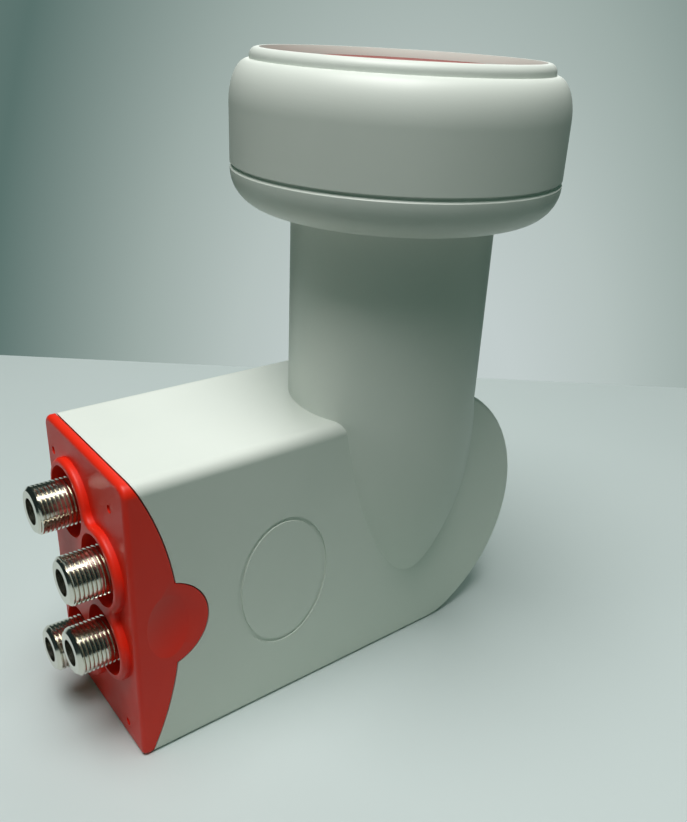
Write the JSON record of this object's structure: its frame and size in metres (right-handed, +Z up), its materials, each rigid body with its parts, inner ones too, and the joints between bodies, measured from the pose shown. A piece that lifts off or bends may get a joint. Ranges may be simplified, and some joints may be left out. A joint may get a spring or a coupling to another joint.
{
  "type": "satellite LNB",
  "caption": "White satellite dish low noise block: round feed on a clamp neck over a flat case, with threaded sockets in a red end cover.",
  "frame": {"origin": "the neck's axis on the plane that the case's flat underside stands on", "axes": "+Z up along the neck towards the feed, -X towards the sockets, +Y towards the side with the boards"},
  "size_m": [0.1061, 0.063, 0.1262],
  "materials": {
    "white_plastic": "satin moulded",
    "red_plastic": "semi-gloss moulded",
    "cast_metal": "as cast",
    "seal_rubber": "matt",
    "board_laminate": "lacquered",
    "chip_plastic": "matt moulded",
    "steel": "plain",
    "plated_brass": "nickel plated",
    "contact_metal": "plain",
    "insulator_plastic": "matt moulded"
  },
  "bodies": {
    "root": {"chassis": "cast_metal", "chassis_lid": "cast_metal", "converter_chip": "chip_plastic", "crossed_probe": "contact_metal", "feed_cap": "white_plastic", "feed_gasket": "seal_rubber", "feed_horn": "cast_metal", "feed_window": "red_plastic", "housing": "white_plastic", "lid_screws": "steel", "reference_crystal": "steel", "rf_board": "board_laminate", "socket_contact_1": "contact_metal", "socket_contact_2": "contact_metal", "socket_contact_3": "contact_metal", "socket_contact_4": "contact_metal", "socket_cover": "red_plastic", "socket_insulator_1": "insulator_plastic", "socket_insulator_2": "insulator_plastic", "socket_insulator_3": "insulator_plastic", "socket_insulator_4": "insulator_plastic", "socket_seal": "seal_rubber", "socket_shell_1": "plated_brass", "socket_shell_2": "plated_brass", "socket_shell_3": "plated_brass", "socket_shell_4": "plated_brass", "straight_probe": "contact_metal", "switch_chip": "chip_plastic"}
  },
  "joints": []
}
